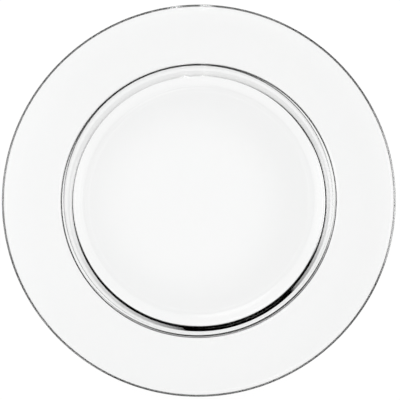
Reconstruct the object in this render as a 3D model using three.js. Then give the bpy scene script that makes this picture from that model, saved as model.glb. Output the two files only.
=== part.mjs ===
// Clear pressed-glass cake plate: a wide rim, a sloping wall and a flat round well, all one body.
// Millimetres, +Z up. The origin is the centre of the plane that the plate stands on.
import * as THREE from 'three';

// Well: the flat floor that carries the cake, and the wall around it
const WELL_RADIUS = 113.7; // where the wall meets the rim's upper face
const WELL_DEPTH = 15.6; // from the shoulder down to the floor
const WELL_WALL_RUN = 11.2; // how far the inner wall leans in on its way down
const WELL_FILLET = 19; // hollow rounding between wall and floor
const FLOOR_THICKNESS = 4.95; // glass over the recessed part of the base

// Rim: a shallow flange that climbs and thickens towards its edge
const RIM_WIDTH = 51.3; // from the shoulder out to the edge
const RIM_RISE = 1.25; // how far the edge stands above the shoulder
const RIM_THICKNESS = 3.35; // beside the wall
const EDGE_THICKNESS = 6.2; // at the outer edge
const EDGE_TOP_ROUNDING = 0.6;
const EDGE_UNDER_ROUNDING = 4.8;

// Shoulder: the turn from wall to rim, above and below
const SHOULDER_ROUNDING = 3.9;
const SHOULDER_OVERLAP = 2.65; // how far the turn below lies outside the turn above
const UNDER_SHOULDER_ROUNDING = 3.65;

// Base: a flat bearing ring under the wall, with a shallow recess inside it
const HEEL_OVERLAP = 4.65; // how far the heel lies outside the foot of the inner wall
const HEEL_ROUNDING = 5.4;
const FOOT_RING_WIDTH = 8.2;
const BASE_RECESS = 0.4;
const RECESS_SLOPE_RUN = 1.2; // width of the step from the foot ring up into the recess
const RECESS_ROUNDING = 0.6;

// Fineness of the facets
const SEGMENTS_AROUND = 96;
const ARC_STEP = THREE.MathUtils.degToRad(10);

// Heights and radii that follow from the sizes above
const floorTop = BASE_RECESS + FLOOR_THICKNESS;
const shoulderTop = floorTop + WELL_DEPTH;
const edgeTop = shoulderTop + RIM_RISE;
const rimRadius = WELL_RADIUS + RIM_WIDTH;
const floorRadius = WELL_RADIUS - WELL_WALL_RUN;
const heelRadius = floorRadius + HEEL_OVERLAP;
const footInnerRadius = heelRadius - FOOT_RING_WIDTH;

// A corner of the section: radius from the axis, height, and the rounding that the corner gets.
function corner(radius, height, rounding = 0) {
  return { at: new THREE.Vector2(radius, height), rounding };
}

// Points of one rounded corner: an arc that touches both legs. Two roundings that meet on a leg
// share its length in proportion, so neither runs past the other.
function roundedCorner(before, { at, rounding }, after) {
  const toBefore = before.at.clone().sub(at);
  const toAfter = after.at.clone().sub(at);
  const roomBefore = toBefore.length() * (rounding / (rounding + before.rounding));
  const roomAfter = toAfter.length() * (rounding / (rounding + after.rounding));
  toBefore.normalize();
  toAfter.normalize();
  const halfAngle = Math.acos(toBefore.dot(toAfter)) / 2;
  const reach = Math.min(rounding / Math.tan(halfAngle), roomBefore, roomAfter);
  const bisector = toBefore.clone().add(toAfter).normalize();
  const centre = at.clone().addScaledVector(bisector, reach / Math.cos(halfAngle));
  const start = at.clone().addScaledVector(toBefore, reach);
  const turn = Math.sign(toAfter.cross(toBefore)) * (Math.PI - 2 * halfAngle);
  const steps = Math.max(2, Math.ceil(Math.abs(turn) / ARC_STEP));
  const points = [];
  for (let i = 0; i <= steps; i += 1) {
    points.push(start.clone().rotateAround(centre, (turn * i) / steps));
  }
  return points;
}

// The section's corners become one line of points, with an arc at each corner that has a rounding.
function roundedLine(corners) {
  return corners.flatMap((here, i) => {
    if (here.rounding === 0) return [here.at];
    return roundedCorner(corners[i - 1], here, corners[i + 1]);
  });
}

// Half section of the plate, from the axis out along the underside, round the edge and back over the top.
function plateSection() {
  return roundedLine([
    corner(0, BASE_RECESS),
    corner(footInnerRadius - RECESS_SLOPE_RUN, BASE_RECESS, RECESS_ROUNDING),
    corner(footInnerRadius, 0, RECESS_ROUNDING),
    corner(heelRadius, 0, HEEL_ROUNDING),
    corner(WELL_RADIUS + SHOULDER_OVERLAP, shoulderTop - RIM_THICKNESS, UNDER_SHOULDER_ROUNDING),
    corner(rimRadius, edgeTop - EDGE_THICKNESS, EDGE_UNDER_ROUNDING),
    corner(rimRadius, edgeTop, EDGE_TOP_ROUNDING),
    corner(WELL_RADIUS, shoulderTop, SHOULDER_ROUNDING),
    corner(floorRadius, floorTop, WELL_FILLET),
    corner(0, floorTop),
  ]);
}

function makePlate() {
  const geometry = new THREE.LatheGeometry(plateSection(), SEGMENTS_AROUND);
  geometry.rotateX(Math.PI / 2);
  const glass = new THREE.MeshStandardMaterial({
    color: 0xf2f6f4,
    roughness: 0.03,
    metalness: 0,
    transparent: true,
    opacity: 0.3,
  });
  const mesh = new THREE.Mesh(geometry, glass);
  mesh.name = 'plate';
  return mesh;
}

const cakePlate = new THREE.Group();
cakePlate.add(makePlate());

export default cakePlate;
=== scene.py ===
import math

import bpy
import numpy as np
from mathutils import Matrix, Vector


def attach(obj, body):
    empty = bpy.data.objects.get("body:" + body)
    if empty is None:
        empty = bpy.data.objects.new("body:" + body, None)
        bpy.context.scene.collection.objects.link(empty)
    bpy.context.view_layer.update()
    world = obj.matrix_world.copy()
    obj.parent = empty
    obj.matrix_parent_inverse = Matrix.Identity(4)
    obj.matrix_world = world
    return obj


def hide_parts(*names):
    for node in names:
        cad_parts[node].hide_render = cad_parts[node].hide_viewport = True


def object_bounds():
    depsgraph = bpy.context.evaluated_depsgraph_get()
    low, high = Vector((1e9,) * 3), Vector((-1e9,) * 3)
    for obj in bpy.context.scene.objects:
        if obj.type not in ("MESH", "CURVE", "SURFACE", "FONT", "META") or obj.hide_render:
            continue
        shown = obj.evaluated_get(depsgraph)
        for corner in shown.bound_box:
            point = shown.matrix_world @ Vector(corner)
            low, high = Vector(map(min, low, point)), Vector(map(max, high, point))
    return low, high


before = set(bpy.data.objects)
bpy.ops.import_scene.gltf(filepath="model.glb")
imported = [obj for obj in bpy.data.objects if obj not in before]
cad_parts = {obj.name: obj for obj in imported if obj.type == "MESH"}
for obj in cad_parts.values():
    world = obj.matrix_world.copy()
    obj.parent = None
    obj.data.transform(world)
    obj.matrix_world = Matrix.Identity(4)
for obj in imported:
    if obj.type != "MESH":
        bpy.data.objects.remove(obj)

CAD_LOW, CAD_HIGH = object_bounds()
MM = 0.001

# Plate sizes: the rim's radius comes from the frame, the rest repeats the solid's own sizes
RIM_RADIUS = CAD_HIGH.x
WELL_RADIUS = 113.7 * MM
WELL_DEPTH = 15.6 * MM
WELL_WALL_RUN = 11.2 * MM
WELL_FILLET = 19 * MM
FLOOR_THICKNESS = 4.95 * MM
RIM_RISE = 1.25 * MM
RIM_THICKNESS = 3.35 * MM
EDGE_THICKNESS = 6.2 * MM
EDGE_TOP_ROUNDING = 0.6 * MM
EDGE_UNDER_ROUNDING = 4.8 * MM
SHOULDER_ROUNDING = 3.9 * MM
SHOULDER_OVERLAP = 2.65 * MM
UNDER_SHOULDER_ROUNDING = 3.65 * MM
HEEL_OVERLAP = 4.65 * MM
HEEL_ROUNDING = 5.4 * MM
FOOT_RING_WIDTH = 8.2 * MM
BASE_RECESS = 0.4 * MM
RECESS_SLOPE_RUN = 1.2 * MM
RECESS_ROUNDING = 0.6 * MM
FLOOR_TOP = BASE_RECESS + FLOOR_THICKNESS
SHOULDER_TOP = FLOOR_TOP + WELL_DEPTH
EDGE_TOP = SHOULDER_TOP + RIM_RISE

# Fineness of the turned surfaces
SEGMENTS_AROUND = 384
ARC_STEP = math.radians(3)
FLAT_LEAD = 0.12 * MM

# Camera: turn, tilt and distance fitted to the plate's rings in the photo, framed for a square picture
PICTURE_SIDE = 400
CAMERA_AZIMUTH = math.radians(19.2)
CAMERA_ELEVATION = math.radians(83.86)
CAMERA_DISTANCE = 1.7
RIM_PIXELS = 197.2
AIM_OFFSET = (1.58 * MM, -1.10 * MM)

# Studio: a wide white table, soft windows and a white backdrop in a dark room
TABLE_GAP = 0.3 * MM
TABLE_RADIUS = 20.0
TABLE_COLOUR = 0.92
PLAIN_WHITE_SHARE = 0.95
# Mirrored table: white up to the first tilt, dark from the second, where 0 is face on and 1 is edge on
WHITE_UP_TO_TILT, DARK_FROM_TILT = 0.25, 0.45
# Windows and lamps: azimuth from +X, elevation, half width of the bright core, end of the fade, strength
RIGHT_WINDOW = (0, 34, 4, 28, 1.3)
LEFT_WINDOW = (176, 29, 14, 27, 1.5)
BACK_WINDOW = (110, 55, 4, 16, 2.0)
FRONT_LAMP_RIGHT = (-84.5, 12, 1.0, 3.0, 11)
FRONT_LAMP_LEFT = (-95, 12, 1.0, 3.0, 11)
OVERHEAD_PANEL = (112, 83.8, 1.4, 3.0, 0.62)
OVERHEAD_PANEL_LEFT = (157, 76, 3, 9, 0.25)
# White backdrop mirrored in the outer face of the glass: elevations where it starts, is full, fades and ends
BACKDROP_BAND = (3, 9, 55, 66)
# Most reflections that one light path may make. With more of them the dark crescent turns grey
MOST_REFLECTIONS = 12


def rounded_corner(before, here, after):
    """Arc that rounds one corner: its centre lies on the corner's bisector, and its points are the first
    touching point turned about that centre in even steps. A short lead on both legs keeps them flat."""
    at, rounding = np.array(here[:2]), here[2]
    to_before, to_after = np.array(before[:2]) - at, np.array(after[:2]) - at
    room_before = np.linalg.norm(to_before) * rounding / (rounding + before[2])
    room_after = np.linalg.norm(to_after) * rounding / (rounding + after[2])
    to_before /= np.linalg.norm(to_before)
    to_after /= np.linalg.norm(to_after)
    half_angle = math.acos(to_before @ to_after) / 2
    reach = min(rounding / math.tan(half_angle), room_before, room_after)
    bisector = (to_before + to_after) / np.linalg.norm(to_before + to_after)
    centre = at + bisector * reach / math.cos(half_angle)
    start = at + to_before * reach - centre
    side = np.sign(to_after[0] * to_before[1] - to_after[1] * to_before[0])
    turn = side * (math.pi - 2 * half_angle)
    angles = np.linspace(0, turn, max(3, math.ceil(abs(turn) / ARC_STEP) + 1))
    cos, sin = np.cos(angles), np.sin(angles)
    arc = centre + np.c_[start[0] * cos - start[1] * sin, start[0] * sin + start[1] * cos]
    lead_in = arc[:1] + to_before * min(FLAT_LEAD, room_before - reach)
    lead_out = arc[-1:] + to_after * min(FLAT_LEAD, room_after - reach)
    return np.vstack([lead_in, arc, lead_out])


def rounded_line(corners):
    """Points along (radius, height, rounding) corners, with an arc at each corner between the ends."""
    inner = [rounded_corner(*corners[i - 1:i + 2]) for i in range(1, len(corners) - 1)]
    points = np.vstack([[corners[0][:2]], *inner, [corners[-1][:2]]])
    apart = np.linalg.norm(np.diff(points, axis=0), axis=1) > 1e-7
    return points[np.r_[True, apart]]


def plate_section():
    """Half section: out along the underside from the axis, round the rim's edge, and back over the top."""
    floor_radius = WELL_RADIUS - WELL_WALL_RUN
    heel_radius = floor_radius + HEEL_OVERLAP
    foot_inner_radius = heel_radius - FOOT_RING_WIDTH
    return rounded_line([
        (0, BASE_RECESS, 0),
        (foot_inner_radius - RECESS_SLOPE_RUN, BASE_RECESS, RECESS_ROUNDING),
        (foot_inner_radius, 0, RECESS_ROUNDING),
        (heel_radius, 0, HEEL_ROUNDING),
        (WELL_RADIUS + SHOULDER_OVERLAP, SHOULDER_TOP - RIM_THICKNESS, UNDER_SHOULDER_ROUNDING),
        (RIM_RADIUS, EDGE_TOP - EDGE_THICKNESS, EDGE_UNDER_ROUNDING),
        (RIM_RADIUS, EDGE_TOP, EDGE_TOP_ROUNDING),
        (WELL_RADIUS, SHOULDER_TOP, SHOULDER_ROUNDING),
        (floor_radius, FLOOR_TOP, WELL_FILLET),
        (0, FLOOR_TOP, 0),
    ])


def turned_surface(name, section, segments, material):
    """Surface of turning: point (s, t) is (r(s) cos t, r(s) sin t, z(s)). An end of the section that lies on
    the axis becomes a single pole point, joined to the ring next to it by a fan of triangles."""
    on_axis = section[:, 0] < 1e-9
    radius, height = section[~on_axis].T
    angle = np.linspace(0, 2 * math.pi, segments, endpoint=False)
    rings = np.stack([
        np.outer(radius, np.cos(angle)),
        np.outer(radius, np.sin(angle)),
        np.repeat(height[:, None], segments, axis=1),
    ], axis=-1).reshape(-1, 3)
    poles = np.c_[np.zeros((on_axis.sum(), 2)), section[on_axis, 1]]
    index = np.arange(len(rings)).reshape(-1, segments)
    onward = np.roll(index, -1, axis=1)
    faces = np.stack([index[:-1], onward[:-1], onward[1:], index[1:]], axis=-1).reshape(-1, 4).tolist()
    pole = np.full(segments, len(rings))
    if on_axis[0]:
        faces += np.stack([pole, onward[0], index[0]], axis=-1).tolist()
    if on_axis[-1]:
        faces += np.stack([pole + on_axis.sum() - 1, index[-1], onward[-1]], axis=-1).tolist()
    mesh = bpy.data.meshes.new(name)
    mesh.from_pydata(np.vstack([rings, poles]).tolist(), [], faces)
    mesh.polygons.foreach_set("use_smooth", np.ones(len(mesh.polygons), dtype=bool))
    mesh.materials.append(material)
    made = bpy.data.objects.new(name, mesh)
    bpy.context.scene.collection.objects.link(made)
    return made


def add_node(tree, kind, inputs=(), **settings):
    """Adds a node. Its settings are its own properties; its inputs are values or other nodes' outputs."""
    node = tree.nodes.new(kind)
    for name, value in settings.items():
        setattr(node, name, value)
    for name, value in dict(inputs).items():
        if isinstance(value, bpy.types.NodeSocket):
            tree.links.new(value, node.inputs[name])
        else:
            node.inputs[name].default_value = value
    return node


def math_node(tree, operation, first, second):
    return add_node(tree, "ShaderNodeMath", {0: first, 1: second}, operation=operation).outputs["Value"]


def new_material(name):
    material = bpy.data.materials.new(name)
    material.use_nodes = True
    material.node_tree.nodes.clear()
    return material, material.node_tree


def clear_glass():
    """Fire-polished clear glass: faint streaks in its colour and faint smears in its gloss."""
    material, tree = new_material("clear_glass")
    place = add_node(tree, "ShaderNodeTexCoord").outputs["Object"]
    streaks = add_node(tree, "ShaderNodeTexNoise", {"Vector": place, "Scale": 9.0, "Detail": 2.0})
    tint = add_node(tree, "ShaderNodeMix", {
        "Factor": streaks.outputs["Fac"],
        "A": (0.988, 0.996, 0.993, 1),
        "B": (0.998, 0.999, 0.998, 1),
    }, data_type="RGBA")
    smears = add_node(tree, "ShaderNodeTexNoise", {
        "Vector": place, "Scale": 38.0, "Detail": 5.0, "Roughness": 0.62,
    })
    gloss = add_node(tree, "ShaderNodeMapRange", {
        "Value": smears.outputs["Fac"], "From Min": 0.45, "From Max": 0.8, "To Min": 0.0, "To Max": 0.03,
    })
    glass = add_node(tree, "ShaderNodeBsdfPrincipled", {
        "Base Color": tint.outputs["Result"],
        "Roughness": gloss.outputs["Result"],
        "Metallic": 0.0,
        "IOR": 1.51,
        "Transmission Weight": 1.0,
    })
    add_node(tree, "ShaderNodeOutputMaterial", {"Surface": glass.outputs["BSDF"]})
    return material


def white_table():
    """Matt white: the eye, gloss and glass see mostly plain white, and the matt share keeps the shadow.
    In reflections the white fades where the table is seen at a low angle, which keeps the rings dark."""
    material, tree = new_material("white_table")
    matt = add_node(tree, "ShaderNodeBsdfDiffuse", {"Color": (TABLE_COLOUR, TABLE_COLOUR, TABLE_COLOUR, 1)})
    path = add_node(tree, "ShaderNodeLightPath").outputs
    tilt = add_node(tree, "ShaderNodeLayerWeight", {"Blend": 0.5}).outputs["Facing"]
    mirrored = add_node(tree, "ShaderNodeMapRange", {
        "Value": tilt, "From Min": WHITE_UP_TO_TILT, "From Max": DARK_FROM_TILT, "To Min": 1.0, "To Max": 0.0,
    }, interpolation_type="SMOOTHSTEP").outputs["Result"]
    straight = math_node(tree, "SUBTRACT", 1.0, path["Glossy Depth"])
    brightness = math_node(tree, "MAXIMUM", mirrored, straight)
    white = add_node(tree, "ShaderNodeEmission", {"Color": (1, 1, 1, 1), "Strength": brightness})
    looked_at = math_node(tree, "MAXIMUM", path["Is Camera Ray"], path["Is Glossy Ray"])
    looked_at = math_node(tree, "MAXIMUM", looked_at, path["Is Transmission Ray"])
    share = math_node(tree, "MULTIPLY", looked_at, PLAIN_WHITE_SHARE)
    mix = add_node(tree, "ShaderNodeMixShader", {
        "Fac": share, 1: matt.outputs["BSDF"], 2: white.outputs["Emission"],
    })
    add_node(tree, "ShaderNodeOutputMaterial", {"Surface": mix.outputs["Shader"]})
    material.cycles.emission_sampling = "NONE"
    return material


def make_plate():
    plate = turned_surface("glass_plate", plate_section(), SEGMENTS_AROUND, clear_glass())
    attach(plate, "root")
    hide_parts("plate")


def make_table():
    """Wide flat table: a disc just under the foot ring."""
    section = np.array([(TABLE_RADIUS, -TABLE_GAP), (0, -TABLE_GAP)])
    turned_surface("table", section, 96, white_table())


def camera_direction():
    level = math.cos(CAMERA_ELEVATION)
    return Vector((
        math.sin(CAMERA_AZIMUTH) * level,
        -math.cos(CAMERA_AZIMUTH) * level,
        math.sin(CAMERA_ELEVATION),
    ))


def toward(azimuth, elevation):
    """Unit vector at the given azimuth from +X and the given elevation, both in degrees."""
    azimuth, elevation = math.radians(azimuth), math.radians(elevation)
    level = math.cos(elevation)
    return Vector((math.cos(azimuth) * level, math.sin(azimuth) * level, math.sin(elevation)))


def soft_window(tree, way, middle, core, fade, strength):
    """Light that is full inside the core's angle from the middle and fades to none at the fade's angle."""
    nearness = add_node(tree, "ShaderNodeVectorMath", {0: way, 1: middle}, operation="DOT_PRODUCT")
    light = add_node(tree, "ShaderNodeMapRange", {
        "Value": nearness.outputs["Value"],
        "From Min": math.cos(math.radians(fade)),
        "From Max": math.cos(math.radians(core)),
        "To Min": 0.0,
        "To Max": strength,
    }, interpolation_type="SMOOTHSTEP")
    return light.outputs["Result"]


def make_surroundings():
    """Dark studio with soft windows, small front lamps and overhead panels. Light paths with no
    reflection find it plain white, and a first reflection finds a white backdrop at middle heights."""
    world = bpy.data.worlds.new("studio")
    bpy.context.scene.world = world
    world.use_nodes = True
    tree = world.node_tree
    tree.nodes.clear()
    way = add_node(tree, "ShaderNodeTexCoord").outputs["Generated"]
    path = add_node(tree, "ShaderNodeLightPath").outputs
    height = add_node(tree, "ShaderNodeSeparateXYZ", {"Vector": way}).outputs["Z"]
    start, full, last, end = (math.sin(math.radians(elevation)) for elevation in BACKDROP_BAND)
    risen = add_node(tree, "ShaderNodeMapRange", {
        "Value": height, "From Min": start, "From Max": full, "To Min": 0.0, "To Max": 1.0,
    }, interpolation_type="SMOOTHSTEP").outputs["Result"]
    low_enough = add_node(tree, "ShaderNodeMapRange", {
        "Value": height, "From Min": last, "From Max": end, "To Min": 1.0, "To Max": 0.0,
    }, interpolation_type="SMOOTHSTEP").outputs["Result"]
    bounces = math_node(tree, "ADD", path["Glossy Depth"], path["Transmission Depth"])
    first = math_node(tree, "LESS_THAN", bounces, 1.5)
    backdrop = math_node(tree, "MULTIPLY", math_node(tree, "MULTIPLY", risen, low_enough), first)
    windows = (
        RIGHT_WINDOW, LEFT_WINDOW, BACK_WINDOW, FRONT_LAMP_RIGHT, FRONT_LAMP_LEFT,
        OVERHEAD_PANEL, OVERHEAD_PANEL_LEFT,
    )
    strength = 0.0
    for azimuth, elevation, *spread in windows:
        light = soft_window(tree, way, toward(azimuth, elevation), *spread)
        strength = math_node(tree, "ADD", strength, light)
    straight = math_node(tree, "SUBTRACT", 1.0, path["Glossy Depth"])
    strength = math_node(tree, "MAXIMUM", strength, backdrop)
    strength = math_node(tree, "MAXIMUM", strength, straight)
    sky = add_node(tree, "ShaderNodeBackground", {"Color": (1, 1, 1, 1), "Strength": strength})
    add_node(tree, "ShaderNodeOutputWorld", {"Surface": sky.outputs["Background"]})


def make_lamp(name, place, size, watts):
    lamp = bpy.data.lights.new(name, "AREA")
    lamp.shape = "DISK"
    lamp.size = size
    lamp.energy = watts
    made = bpy.data.objects.new(name, lamp)
    made.location = place
    made.rotation_euler = (-Vector(place)).to_track_quat("-Z", "Y").to_euler()
    made.visible_glossy = False
    made.visible_transmission = False
    bpy.context.scene.collection.objects.link(made)


def make_camera():
    lens = bpy.data.cameras.new("photo_view")
    camera = bpy.data.objects.new("photo_view", lens)
    bpy.context.scene.collection.objects.link(camera)
    bpy.context.scene.camera = camera
    back = camera_direction()
    right = Vector((0, 1, 0)).cross(back).normalized()
    turn = Matrix((right, back.cross(right), back)).transposed().to_4x4()
    aim = Vector((*AIM_OFFSET, EDGE_TOP))
    camera.matrix_world = Matrix.Translation(aim + back * CAMERA_DISTANCE) @ turn
    lens.lens = RIM_PIXELS / RIM_RADIUS * CAMERA_DISTANCE * lens.sensor_width / PICTURE_SIDE
    lens.clip_end = 100


make_camera()
make_plate()
make_table()
make_surroundings()
make_lamp("soft_lamp_left", (-1.1, 0.5, 1.6), 1.4, 24)
make_lamp("soft_lamp_right", (1.1, 0.5, 1.6), 1.4, 24)
bpy.context.scene.view_settings.view_transform = "Standard"
bpy.context.scene.cycles.glossy_bounces = MOST_REFLECTIONS
bpy.context.scene.cycles.transmission_bounces = 2 * MOST_REFLECTIONS
bpy.context.scene.cycles.max_bounces = 2 * MOST_REFLECTIONS
